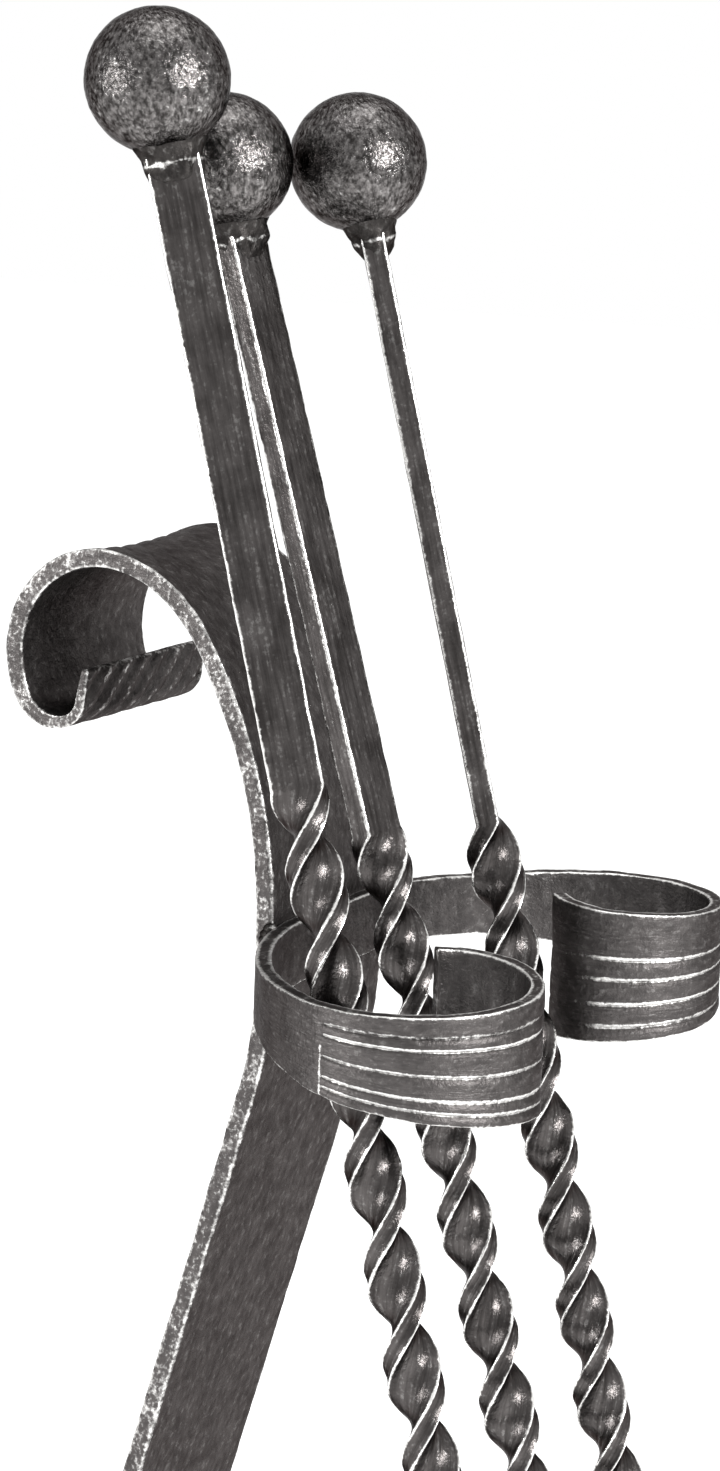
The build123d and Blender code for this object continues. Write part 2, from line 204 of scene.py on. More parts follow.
def steel(name, dark, light, brush=(75.0, 900.0), patches=110.0, flecks=800.0, fleck_share=0.12,
          rough=(0.30, 0.50), relief=0.00025, wear_level=(0.70, 0.98), mask=(0.54, 0.55, 0.45),
          contrast=(0.34, 0.66), hammer=0.0):
    """Forged steel: dark patina, brushed streaks along the bar, silver where edges are worn.

    brush is the grain along and across the bar; mask is the share of wear, fleck and patch in what
    turns silver, between the two values of wear_level."""
    material, tree, shader, places = new_material(name)
    flow = tree.nodes.new("ShaderNodeUVMap")
    flow.uv_map = "flow"
    wear = tree.nodes.new("ShaderNodeAttribute")
    wear.attribute_name = "wear"
    streak = noise_node(tree, flow.outputs[0], 1.0, 5.0, 0.6, (brush[0], brush[1], 1.0))
    patch = noise_node(tree, places, patches, 5.0, 0.6)
    fleck = noise_node(tree, places, flecks, 3.0, 0.6)
    tone = plus(tree, times(tree, streak, 0.55), times(tree, patch, 0.45))
    base = mix_colour(tree, step_node(tree, tone, contrast[0], contrast[1]), dark, light)
    worn = times(tree, wear.outputs["Fac"], mask[0])
    worn = plus(tree, worn, times(tree, fleck, mask[1]))
    worn = plus(tree, worn, times(tree, patch, mask[2]))
    worn = step_node(tree, worn, wear_level[0], wear_level[1])
    silver = times(tree, step_node(tree, times(tree, fleck, streak), 0.28, 0.42), fleck_share)
    worn = plus(tree, worn, silver, clamp=True)
    tree.links.new(mix_colour(tree, worn, base, SILVER), shader.inputs["Base Color"])
    tree.links.new(mix_value(tree, worn, rough[1], rough[0]), shader.inputs["Roughness"])
    shader.inputs["Metallic"].default_value = 1.0
    shader.inputs["Specular Tint"].default_value = (0.36, 0.35, 0.35, 1.0)
    height = plus(tree, times(tree, streak, 0.5), times(tree, fleck, 0.7))
    if hammer:
        dents = tree.nodes.new("ShaderNodeTexVoronoi")
        dents.feature = "SMOOTH_F1"
        tree.links.new(places, dents.inputs["Vector"])
        dents.inputs["Scale"].default_value = 260.0
        height = plus(tree, height, times(tree, dents.outputs["Distance"], hammer))
    set_bump(tree, shader, height, relief)
    return material


def wood():
    material, tree, shader, places = new_material("beech_wood")
    grain = noise_node(tree, places, 1.0, 6.0, 0.6, (900.0, 900.0, 60.0))
    ring = noise_node(tree, places, 60.0, 2.0)
    tone = plus(tree, times(tree, grain, 0.6), times(tree, ring, 0.4))
    colour = mix_colour(tree, step_node(tree, tone, 0.3, 0.7), (0.20, 0.115, 0.055), (0.42, 0.27, 0.15))
    tree.links.new(colour, shader.inputs["Base Color"])
    shader.inputs["Roughness"].default_value = 0.55
    set_bump(tree, shader, grain, 0.0002)
    return material


def fibre():
    material, tree, shader, places = new_material("bristle_fibre")
    tuft = noise_node(tree, places, 420.0, 3.0)
    shade = step_node(tree, tuft, 0.35, 0.65)
    colour = mix_colour(tree, shade, (0.012, 0.010, 0.009), (0.075, 0.060, 0.048))
    tree.links.new(colour, shader.inputs["Base Color"])
    tree.links.new(mix_value(tree, tuft, 0.38, 0.62), shader.inputs["Roughness"])
    set_bump(tree, shader, tuft, 0.0001)
    return material


MATERIALS = {
    "forged_dark": steel("forged_bar", (0.056, 0.052, 0.051), (0.098, 0.091, 0.089),
                         brush=(260.0, 420.0), patches=150.0, fleck_share=0.07, rough=(0.30, 0.44),
                         relief=0.0004),
    "forged_twist": steel("forged_twist", (0.034, 0.031, 0.030), (0.092, 0.085, 0.083),
                          brush=(60.0, 700.0), fleck_share=0.10, rough=(0.20, 0.28)),
    "ball_steel": steel("ball_steel", (0.028, 0.026, 0.025), (0.170, 0.161, 0.158),
                        brush=(700.0, 900.0), patches=420.0, flecks=950.0, fleck_share=0.12,
                        rough=(0.14, 0.17), contrast=(0.38, 0.64), relief=0.00035,
                        wear_level=(0.84, 1.16)),
    "weld": steel("weld_bead", (0.018, 0.0165, 0.016), (0.052, 0.048, 0.046),
                  brush=(300.0, 300.0), patches=220.0, fleck_share=0.08, rough=(0.28, 0.45),
                  relief=0.0005, hammer=0.4),
    "sheet": steel("hammered_sheet", (0.030, 0.028, 0.027), (0.090, 0.083, 0.080),
                   brush=(40.0, 300.0), patches=90.0, relief=0.0006, hammer=0.8),
    "rivet": steel("rivet_steel", (0.050, 0.046, 0.044), (0.230, 0.220, 0.214),
                   patches=260.0, fleck_share=0.35, relief=0.0004, hammer=0.5),
    "block": wood(),
    "bristle": fibre(),
}


# ------------------------------------------------------------------ mesh tools

def make_piece(name, points, faces, wear, coords, body, slot, replaced, smooth_angle=40.0):
    """A mesh object; coords holds one (along, around) pair for each corner of each face."""
    mesh = bpy.data.meshes.new(name)
    mesh.from_pydata([tuple(p) for p in points], [], faces)
    attribute = mesh.attributes.new("wear", "FLOAT", "POINT")
    attribute.data.foreach_set("value", np.asarray(wear, np.float32).ravel())
    layer = mesh.uv_layers.new(name="flow")
    layer.data.foreach_set("uv", np.asarray(coords, np.float32).ravel())
    mesh.polygons.foreach_set("use_smooth", [True] * len(mesh.polygons))
    mesh.set_sharp_from_angle(angle=math.radians(smooth_angle))
    mesh.materials.append(MATERIALS[slot])
    piece = bpy.data.objects.new(name, mesh)
    bpy.context.scene.collection.objects.link(piece)
    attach(piece, body)
    if replaced:
        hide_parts(*replaced)
    return piece


def run_along(points):
    """Distances from the first point along a list of points."""
    steps = np.linalg.norm(np.diff(np.asarray(points, float), axis=0), axis=1)
    return np.concatenate([[0.0], np.cumsum(steps)])


def skin(rings, along, around, wear):
    """Faces and coordinates over closed rings (n, m, 3) with both ends closed; around has m + 1 entries."""
    count, size = rings.shape[:2]
    faces = []
    coords = []
    for i in range(count - 1):
        for j in range(size):
            k = (j + 1) % size
            faces.append((i * size + j, i * size + k, (i + 1) * size + k, (i + 1) * size + j))
            coords += [(along[i], around[j]), (along[i], around[j + 1])]
            coords += [(along[i + 1], around[j + 1]), (along[i + 1], around[j])]
    faces.append(tuple(range(size - 1, -1, -1)))
    coords += [(along[0], around[j]) for j in range(size - 1, -1, -1)]
    faces.append(tuple((count - 1) * size + j for j in range(size)))
    coords += [(along[-1], around[j]) for j in range(size)]
    return rings.reshape(-1, 3), faces, np.asarray(wear).ravel(), coords


def join(*parts):
    """Several (points, faces, wear, coords) as one."""
    points, faces, wear, coords = [], [], [], []
    base = 0
    for part in parts:
        points.append(part[0])
        faces += [tuple(v + base for v in face) for face in part[1]]
        wear.append(part[2])
        coords += part[3]
        base += len(part[0])
    return np.vstack(points), faces, np.concatenate(wear), coords


def roughen(piece, size, depth, nick=0.0, seed=0.0):
    """Moves the surface in and out like hammer marks; edges with wear get small nicks as well."""
    mesh = piece.data
    count = len(mesh.vertices)
    points = np.empty(count * 3, np.float32)
    normals = np.empty(count * 3, np.float32)
    wear = np.empty(count, np.float32)
    mesh.vertices.foreach_get("co", points)
    mesh.vertex_normals.foreach_get("vector", normals)
    mesh.attributes["wear"].data.foreach_get("value", wear)
    points = points.reshape(-1, 3)
    normals = normals.reshape(-1, 3)
    shift = Vector((seed, seed * 0.7, seed * 1.3))
    for i in range(count):
        place = Vector(points[i])
        amount = depth * noise.noise(place / size + shift)
        if nick:
            amount -= nick * wear[i] * max(noise.noise(place / 0.0024 - shift), 0.0)
        points[i] += normals[i] * amount
    points[:, 2] = np.maximum(points[:, 2], 0.0)
    mesh.vertices.foreach_set("co", points.ravel())
    mesh.update()


def route(start, heading, moves, step):
    """Points, directions and distances along straights and bends in a plane."""
    place = np.array(start, float)
    angle = math.radians(heading)
    points, ways, runs = [place.copy()], [(math.cos(angle), math.sin(angle))], [0.0]
    for radius, amount in moves:
        if radius is None:
            count = max(int(round(amount / step)), 1)
            for k in range(count):
                place = place + amount / count * np.array([math.cos(angle), math.sin(angle)])
                points.append(place.copy())
                ways.append((math.cos(angle), math.sin(angle)))
                runs.append(runs[-1] + amount / count)
        else:
            turn = math.radians(amount)
            length = abs(turn) * radius
            count = max(int(round(length / min(step, radius * 0.12))), 2)
            side = 1.0 if turn > 0 else -1.0
            centre = place + side * radius * np.array([-math.sin(angle), math.cos(angle)])
            for k in range(count):
                angle += turn / count
                place = centre - side * radius * np.array([-math.sin(angle), math.cos(angle)])
                points.append(place.copy())
                ways.append((math.cos(angle), math.sin(angle)))
                runs.append(runs[-1] + length / count)
    return np.array(points), np.array(ways), np.array(runs)


def spread(length, middle):
    """Places across a side: close together near both ends, evenly spaced between."""
    near = [0.0003, 0.0007, 0.0013]
    near = [v for v in near if v < length * 0.3]
    low = near[-1] if near else 0.0
    count = max(int(round((length - 2 * low) / middle)), 1)
    inner = [low + (length - 2 * low) * k / count for k in range(count + 1)]
    return sorted(set(near + inner + [length - v for v in near]))


def edge_wear(distance):
    return float(np.interp(distance, [0.0, 0.00025, 0.0006, 0.0012], [0.92, 0.42, 0.12, 0.0]))


def bar_outline(width, thick, radius, middle=0.0012, side_wear=0.0, corner=3):
    """Outline of a bar, anticlockwise from its first face: (u, v) as shares, wear and run.
    u runs 0..width and v 0..thick; the first face lies at v = 0."""
    spots = []
    spans = [(width, "u0"), (thick, "v1"), (width, "u1"), (thick, "v0")]
    for length, kind in spans:
        flat = length - 2 * radius
        for place in spread(flat, middle):
            t = radius + place
            wear = max(edge_wear(min(place, flat - place)), side_wear if kind[0] == "v" else 0.0)
            if kind == "u0":
                spots.append((t, 0.0, wear))
            elif kind == "v1":
                spots.append((width, t, wear))
            elif kind == "u1":
                spots.append((width - t, thick, wear))
            else:
                spots.append((0.0, thick - t, wear))
        corner_at = {"u0": (width - radius, radius, -90), "v1": (width - radius, thick - radius, 0),
                     "u1": (radius, thick - radius, 90), "v0": (radius, radius, 180)}[kind]
        for k in range(1, corner):
            a = math.radians(corner_at[2] + 90.0 * k / corner)
            spots.append((corner_at[0] + radius * math.cos(a), corner_at[1] + radius * math.sin(a), 1.0))
    spots = np.array(spots)
    around = run_along(np.vstack([spots[:, :2], spots[:1, :2]]))
    return spots[:, 0], spots[:, 1], spots[:, 2], around


def rounded_ends(runs, radius):
    """How much narrower each station is than the full bar, for softened ends; and its wear."""
    gap = np.minimum(runs - runs[0], runs[-1] - runs)
    inside = np.clip(radius - gap, 0.0, radius)
    trim = radius - np.sqrt(np.maximum(radius**2 - inside**2, 0.0))
    return trim, np.interp(gap, [0.0, 0.0006, 0.0015], [1.0, 0.7, 0.0])


def with_end_stations(runs, radius):
    """More places close to both ends, for softened corners."""
    steps = radius * np.array([0.12, 0.4, 1.0, 2.2])
    return np.unique(np.concatenate([runs, runs[0] + steps, runs[-1] - steps]))


def ramp(value, start, length):
    return np.clip((value - start) / length, 0.0, 1.0)


# ------------------------------------------------------------------ stand: stem

leg_lean = math.radians(LEG_LEAN)
leg_top_y = STEM_FACE_Y + LEG_BEND * (1 - math.cos(leg_lean))
leg_top_z = BAND_HEIGHT - STEM_STRAIGHT / 2 - LEG_BEND * math.sin(leg_lean)
heel_top_z = RUN_Z + HEEL_BEND * (1 + math.sin(leg_lean))
leg_run = (leg_top_z - heel_top_z) / math.cos(leg_lean)
heel_y = leg_top_y + (leg_top_z - heel_top_z) * math.tan(leg_lean) - HEEL_BEND * math.cos(leg_lean)
front_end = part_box("stem")[0].y
stem_moves = [(None, heel_y - front_end), (HEEL_BEND, 90 + LEG_LEAN), (None, leg_run), (LEG_BEND, -LEG_LEAN)]
stem_moves += [(None, STEM_STRAIGHT)] + SCROLL
pos, way, run = route((front_end, RUN_Z), 0.0, stem_moves, 0.0025)
fine = with_end_stations(run, 0.0007)
pos = np.stack([np.interp(fine, run, pos[:, i]) for i in range(2)], 1)
way = np.stack([np.interp(fine, run, way[:, i]) for i in range(2)], 1)
way /= np.linalg.norm(way, axis=1)[:, None]
run = fine
scroll_length = sum(m[1] if m[0] is None else abs(math.radians(m[1])) * m[0] for m in SCROLL)
scroll_start = run[-1] - scroll_length

u, v, wear, around = bar_outline(STEM_WIDTH, STEM_THICK, 0.0007, middle=0.0011, side_wear=0.38)
trim, end_wear = rounded_ends(run, 0.0007)
rings = np.zeros((len(run), len(u), 3))
ring_wear = np.zeros((len(run), len(u)))
FLUTES = 7
for i in range(len(run)):
    past = run[i] - scroll_start
    full = 0.45 * ramp(past, 0.055, 0.030) + 0.55 * ramp(past, 0.165, 0.030)
    hollow = 0.0016 * ramp(past, 0.020, 0.05) * (1 - ramp(past, 0.150, 0.04))
    x = (u - STEM_WIDTH / 2) * (1 - 2 * trim[i] / STEM_WIDTH)
    depth = STEM_THICK / 2 + (v - STEM_THICK / 2) * (1 - 2 * trim[i] / STEM_THICK)
    share = u / STEM_WIDTH
    on_front = (v < 1e-6)
    flute = np.abs(np.sin(np.pi * FLUTES * (share - 16.0 * (run[i] - run[-1])))) ** 0.7
    sunk = full * 0.0013 * (1 - flute) + hollow * (1 - (2 * share - 1) ** 2)
    depth = depth + np.where(on_front, sunk, 0.0)
    drawn = np.interp(run[-1] - run[i], [0.0, 0.010, 0.045], [0.26, 0.46, 1.0])
    depth = np.where(depth > 0.0012, 0.0012 + (depth - 0.0012) * drawn, depth)
    rings[i, :, 0] = x
    rings[i, :, 1] = pos[i, 0] + way[i, 1] * depth
    rings[i, :, 2] = pos[i, 1] - way[i, 0] * depth
    ridge = np.where(on_front, full * 0.41 * flute**4, 0.0)
    ring_wear[i] = np.maximum(np.maximum(np.minimum(wear, 0.62), ridge), 0.5 * end_wear[i])
stem = make_piece("stem_bar", *skin(rings, run, around, ring_wear), body="stand", slot="forged_dark",
                  replaced=["stem"])
roughen(stem, 0.011, 0.00022, nick=0.00045, seed=3.1)


# ------------------------------------------------------------------ stand: cross band

arm_pos, arm_way, arm_run = route((0.0, STEM_FACE_Y), 0.0, ARM, 0.0014)
arm_length = arm_run[-1]
stations = with_end_stations(np.concatenate([-arm_run[:0:-1], arm_run]), 0.0006)
GROOVE_START = 0.103
groove_stations = [s * (GROOVE_START + k) for s in (-1, 1) for k in (-0.0006, 0.0, 0.0006, 0.0012)]
stations = np.unique(np.concatenate([stations, groove_stations]))
# each chased line: its share of the height from the top, and how bright it is worn
LINES = {-1: [(0.185, 0.62), (0.31, 1.0), (0.55, 0.80), (0.775, 0.90), (0.89, 0.85)],
         1: [(0.36, 0.85), (0.52, 0.85), (0.71, 0.9), (0.88, 0.8)]}


def smooth(value, low, high):
    part = np.clip((value - low) / (high - low), 0.0, 1.0)
    return part * part * (3 - 2 * part)


radius = 0.0006
line_shares = [f + k for f, strength in LINES[-1] + LINES[1] for k in (-0.028, -0.014, 0.0, 0.014, 0.028)]
edge_shares = [0.0, 0.014, 0.035, 0.965, 0.986, 1.0]
face_shares = np.concatenate([edge_shares, line_shares, np.linspace(0.05, 0.95, 24)])
face_shares = sorted(set(np.round(face_shares, 4)))
face_shares = [f for k, f in enumerate(face_shares) if k == 0 or f - face_shares[k - 1] > 0.004]
back_shares = (0.0, 0.014, 0.035, 0.1, 0.25, 0.5, 0.75, 0.9, 0.965, 0.986, 1.0)
# the strip's section as (share of the height, share of the thickness, which side)
outline = [(1 - f, 0.0, "face") for f in reversed(face_shares)]
outline += [(1.0, 0.3, "edge"), (1.0, 0.7, "edge")]
outline += [(1 - f, 1.0, "back") for f in back_shares]
outline += [(0.0, 0.7, "edge"), (0.0, 0.3, "edge")]
trim, end_wear = rounded_ends(stations, radius)
rings = np.zeros((len(stations), len(outline), 3))
ring_wear = np.zeros((len(stations), len(outline)))
for i, s in enumerate(stations):
    side = -1 if s < 0 else 1
    a = abs(s)
    x = np.interp(a, arm_run, arm_pos[:, 0])
    y = np.interp(a, arm_run, arm_pos[:, 1])
    tx = np.interp(a, arm_run, arm_way[:, 0])
    ty = np.interp(a, arm_run, arm_way[:, 1])
    norm = math.hypot(tx, ty)
    tx, ty = tx / norm, ty / norm
    flare = max(a - FLARE_START, 0.0) / (arm_length - FLARE_START)
    height = BAND_NARROW + (BAND_FLARED - BAND_NARROW) * flare - 2 * trim[i]
    middle = BAND_HEIGHT - BAND_DROP * float(smooth(a, DROP_START, DROP_END))
    inward = np.array([side * ty, -tx, 0.0])
    fade = (0.055, 0.030) if side < 0 else (0.022, 0.010)
    kept = 1 - 0.7 * float(smooth(a, arm_length - fade[0], arm_length - fade[1]))
    grooved = float(smooth(a, GROOVE_START, GROOVE_START + 0.0012)) * kept
    for j, (up_share, depth_share, kind) in enumerate(outline):
        from_top = 1 - up_share
        depth = depth_share * (BAND_THICK - 2 * trim[i]) + trim[i]
        wear = 0.0
        edge = min(from_top, up_share) * height
        if kind == "face" or kind == "back":
            wear = edge_wear(0.75 * edge)
            depth += (radius * 0.5 * (1 if kind == "face" else -1)) * (1 if edge < 1e-6 else 0)
        else:
            wear = 0.34
        if kind == "face":
            for line, strength in LINES[side]:
                d = abs(from_top - line) * BAND_FLARED
                below = (from_top - line - 0.018) * BAND_FLARED
                depth += grooved * 0.00055 * math.exp(-(below / 0.0006) ** 2)
                shine = float(np.interp(d, [0.0, 0.0006, 0.0011], [1.0, 0.78, 0.0]))
                wear = max(wear, grooved * strength * shine)
            d = abs(a - GROOVE_START)
            depth += 0.0003 * float(smooth(a, GROOVE_START - 0.0006, GROOVE_START + 0.0006))
            shine = float(np.interp(d, [0.0, 0.0004, 0.0009], [0.70, 0.3, 0.0]))
            wear = max(wear, float(smooth(from_top, 0.36, 0.46)) * shine)
        z = middle + (up_share - 0.5) * height
        rings[i, j] = (side * x + inward[0] * depth, y + inward[1] * depth, z)
        ring_wear[i, j] = max(wear, 0.4 * end_wear[i])
around = np.concatenate([[0.0], np.cumsum([BAND_FLARED / 30 + 0.0004] * len(outline))])
band = make_piece("cross_band_strip", *skin(rings, stations, around, ring_wear), body="stand",
                  slot="forged_dark", replaced=["cross_band"])
roughen(band, 0.007, 0.00022, nick=0.0003, seed=7.7)


# ------------------------------------------------------------------ stand: feet and pan

def foot(name, node, narrow=0.030, flared=0.044):
    low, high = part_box(node)
    half = (high.x - low.x) / 2
    middle = (low.y + high.y) / 2
    inner = half - 0.045
    bulge = flared / 6
    left_tip = np.linspace(-half, -half + bulge, 9)
    straight = np.linspace(-half + bulge, half - bulge, 110)[1:-1]
    right_tip = np.linspace(half - bulge, half, 9)
    runs = with_end_stations(np.concatenate([left_tip, straight, right_tip]), 0.0007)
    u, v, wear, around = bar_outline(narrow, 0.006, 0.0008, middle=0.0014)
    trim, end_wear = rounded_ends(runs, 0.0007)
    rings = np.zeros((len(runs), len(u), 3))
    ring_wear = np.zeros((len(runs), len(u)))
    for i, x in enumerate(runs):
        share = np.clip((abs(x) - inner) / (0.045 - bulge), 0.0, 1.0)
        width = narrow + (flared - narrow) * share**2
        beyond = max(abs(x) - (half - bulge), 0.0) / bulge
        width *= math.sqrt(max(1 - beyond**2, 0.006))
        rings[i, :, 0] = x
        rings[i, :, 1] = middle + (u - narrow / 2) * (width / narrow)
        rings[i, :, 2] = low.z + 0.003 + (v - 0.003) * (1 - 2 * trim[i] / 0.006)
        ring_wear[i] = np.maximum(wear, end_wear[i])
    piece = make_piece(name, *skin(rings, runs, around, ring_wear), body="stand", slot="forged_dark",
                       replaced=[node])
    roughen(piece, 0.010, 0.00025, nick=0.0003, seed=len(name))
    return piece


foot("front_foot_bar", "front_foot")
foot("rear_foot_bar", "rear_foot")


def rounded_loop(cx, cy, half_x, half_y, corner, z, count=10, straight=26):
    """A closed rounded rectangle, anticlockwise seen from above."""
    points = []
    centres = [(half_x, half_y, 0), (-half_x, half_y, 90), (-half_x, -half_y, 180), (half_x, -half_y, 270)]
    for index, (sx, sy, first) in enumerate(centres):
        ox = math.copysign(abs(sx) - corner, sx)
        oy = math.copysign(abs(sy) - corner, sy)
        for k in range(count + 1):
            a = math.radians(first + 90.0 * k / count)
            points.append((cx + ox + corner * math.cos(a), cy + oy + corner * math.sin(a), z))
        nx, ny, nfirst = centres[(index + 1) % 4]
        tx = math.copysign(abs(nx) - corner, nx) + corner * math.cos(math.radians(nfirst))
        ty = math.copysign(abs(ny) - corner, ny) + corner * math.sin(math.radians(nfirst))
        start = np.array(points[-1])
        end = np.array((cx + tx, cy + ty, z))
        for k in range(1, straight):
            points.append(tuple(start + (end - start) * k / straight))
    return np.array(points)


low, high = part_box("hearth_pan")
cx, cy = (low.x + high.x) / 2, (low.y + high.y) / 2
hx, hy = (high.x - low.x) / 2, (high.y - low.y) / 2
# (inset, height above the floor of the set, corner radius, wear)
profile = [
    (0.0900, low.z, 0.002, 0.0), (0.030, low.z, 0.004, 0.0), (0.0030, low.z, 0.0075, 0.2),
    (0.0012, low.z + 0.0003, 0.009, 0.7), (0.0, low.z + 0.0015, 0.010, 0.5),
    (0.0, low.z + 0.0035, 0.010, 0.0), (0.0, high.z - 0.0035, 0.010, 0.0),
    (0.0, high.z - 0.0012, 0.010, 0.6), (0.0004, high.z - 0.0003, 0.0098, 1.0),
    (0.0010, high.z, 0.0092, 1.0), (0.0020, high.z, 0.008, 1.0), (0.0026, high.z - 0.0003, 0.0075, 1.0),
    (0.0030, high.z - 0.0012, 0.007, 0.5), (0.0030, high.z - 0.003, 0.007, 0.0),
    (0.0031, PAN_FLOOR_Z + 0.002, 0.0068, 0.0), (0.0036, PAN_FLOOR_Z + 0.0006, 0.0062, 0.1),
    (0.0050, PAN_FLOOR_Z, 0.005, 0.0), (0.012, PAN_FLOOR_Z, 0.004, 0.0), (0.020, PAN_FLOOR_Z, 0.003, 0.0),
    (0.030, PAN_FLOOR_Z, 0.003, 0.0), (0.038, PAN_FLOOR_Z, 0.003, 0.0), (0.0455, PAN_FLOOR_Z, 0.0008, 0.0),
]
loops, loop_wear = [], []
for inset, z, corner, worn in profile:
    inset_y = min(inset, hy - 0.0015)
    loops.append(rounded_loop(cx, cy, hx - min(inset, hx - 0.002), hy - inset_y, corner, z))
    loop_wear.append(np.full(len(loops[0]), worn))
loop_run = run_along([(inset, z) for inset, z, corner, worn in profile])
rings = np.array(loops)
rim_loop = rings[8]
around = run_along(np.vstack([rim_loop, rim_loop[:1]]))
pan = make_piece("hearth_pan_tray", *skin(rings, loop_run, around, np.array(loop_wear)), body="stand",
                 slot="sheet", replaced=["hearth_pan"])
roughen(pan, 0.014, 0.00035, nick=0.0003, seed=12.0)


# ------------------------------------------------------------------ welds

def bead(start, end, radius, seed, sides=14, ripple=0.0016):
    """A run of weld: overlapping ripples along a line."""
    start, end = np.array(start, float), np.array(end, float)
    length = np.linalg.norm(end - start)
    along = (end - start) / length
    e1 = unit(np.cross(along, (0.3, 0.2, 1.0)))
    e2 = np.cross(along, e1)
    runs = np.arange(0.0, length + 0.0001, 0.0004)
    rings, worn = [], []
    for s in runs:
        taper = math.sqrt(max(1 - (2 * s / length - 1) ** 6, 0.02))
        wave = 0.85 + 0.15 * abs(math.sin(math.pi * s / ripple))
        wave += 0.16 * noise.noise(Vector((s * 300, seed, 0)))
        ring, ring_worn = [], []
        for k in range(sides):
            a = 2 * math.pi * k / sides
            lump = noise.noise(Vector((s * 500, math.cos(a) + seed, math.sin(a))))
            r = radius * taper * wave * (1 + 0.12 * lump)
            ring.append(start + along * s + (e1 * math.cos(a) + e2 * math.sin(a)) * r)
            ring_worn.append(0.35 * abs(math.sin(math.pi * s / ripple)))
        rings.append(ring)
        worn.append(ring_worn)
    around = np.arange(sides + 1) * radius * 0.45
    return skin(np.array(rings), runs, around, np.array(worn))


band_low, band_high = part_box("band_welds")
half = STEM_WIDTH / 2
beads = []
for x in (-half - 0.0002, half + 0.0002):
    foot_of_bead = (x, STEM_FACE_Y + 0.0004, band_low.z - 0.001)
    head_of_bead = (x, STEM_FACE_Y + 0.0004, band_high.z + 0.0005)
    beads.append(bead(foot_of_bead, head_of_bead, 0.0030, 1.5 + x))
make_piece("band_weld_beads", *join(*beads), body="stand", slot="weld", replaced=["band_welds"])
beads = []
for node in ("front_foot", "rear_foot"):
    low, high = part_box(node)
    middle = (low.y + high.y) / 2
    for x in (-half - 0.0004, half + 0.0004):
        ends = [(x, middle + reach, 0.0064) for reach in (-0.011, 0.011)]
        beads.append(bead(*ends, 0.0023, 4.2 + middle * 10 + x))
make_piece("foot_weld_beads", *join(*beads), body="stand", slot="weld", replaced=["foot_welds"])
low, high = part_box("pan_welds")
beads = []
for x in (-half - 0.0004, half + 0.0004):
    beads.append(bead((x, low.y, RUN_Z - 0.0003), (x, high.y, RUN_Z - 0.0003), 0.0021, 8.0 + x))
make_piece("pan_weld_beads", *join(*beads), body="stand", slot="weld", replaced=["pan_welds"])


# ------------------------------------------------------------------ tools

class ToolFrame:
    """A tool's own frame: origin at its tip, Z up its shaft, X level and across the set."""

    def __init__(self, name):
        low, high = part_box(name + "_knob")
        self.knob = np.array((low + high) / 2)
        joint = [j for j in frame["joints"] if j["child"] == name][0]
        self.z = unit(joint["axis"])
        self.x = unit((self.z[1], -self.z[0], 0.0))
        self.y = np.cross(self.z, self.x)
        self.length = (self.knob[2] - TIP_Z - TOOLS[name]["behind"] * self.z[1]) / self.z[2]
        self.origin = self.knob - self.z * self.length

    def at(self, x, y, z):
        x, y, z = np.broadcast_arrays(x, y, z)
        return self.origin + x[..., None] * self.x + y[..., None] * self.y + z[..., None] * self.z


def shaft(name, tool):
    data = TOOLS[name]
    top = tool.length - KNOB_RADIUS + 0.0010
    twist_top = tool.length - FLAT_LENGTH
    twist_length = data["turn"] / 180.0 * HALF_TURN
    twist_low = twist_top - twist_length
    point = 0.070 if name == "poker" else 0.0
    plain_part = np.arange(data["low"], twist_low, 0.0022)
    twisted_part = np.arange(twist_low, twist_top, 0.0009)
    handle_part = np.arange(twist_top, top, 0.0020)
    runs = np.concatenate([plain_part, twisted_part, handle_part, [top]])
    runs = with_end_stations(np.unique(runs), 0.0006)
    u, v, wear, around = bar_outline(BAR_WIDE, BAR_THIN, 0.00055, middle=0.0012)
    trim, end_wear = rounded_ends(runs, 0.0006)
    angle = np.interp(runs, [twist_low, twist_top], [0.0, math.radians(data["turn"])])
    rings = np.zeros((len(runs), len(u), 3))
    ring_wear = np.zeros((len(runs), len(u)))
    for i, h in enumerate(runs):
        share = min(h / point, 1.0) if point else 1.0
        wide = (0.0025 + (BAR_WIDE - 0.0025) * share - 2 * trim[i]) / BAR_WIDE
        thin = (0.0025 + (BAR_THIN - 0.0025) * share - 2 * trim[i]) / BAR_THIN
        a = (u - BAR_WIDE / 2) * wide
        b = (v - BAR_THIN / 2) * thin
        c, s = math.cos(angle[i]), math.sin(angle[i])
        rings[i] = tool.at(a * c - b * s, a * s + b * c, np.full(len(a), h))
        ring_wear[i] = np.maximum(np.minimum(wear, 0.86), end_wear[i])
    piece = make_piece(name + "_twisted_bar", *skin(rings, runs, around, ring_wear), body=name,
                       slot="forged_twist", replaced=[name + "_shaft"])
    roughen(piece, 0.006, 0.00020, nick=0.0003, seed=2.0 + len(name))
    return piece


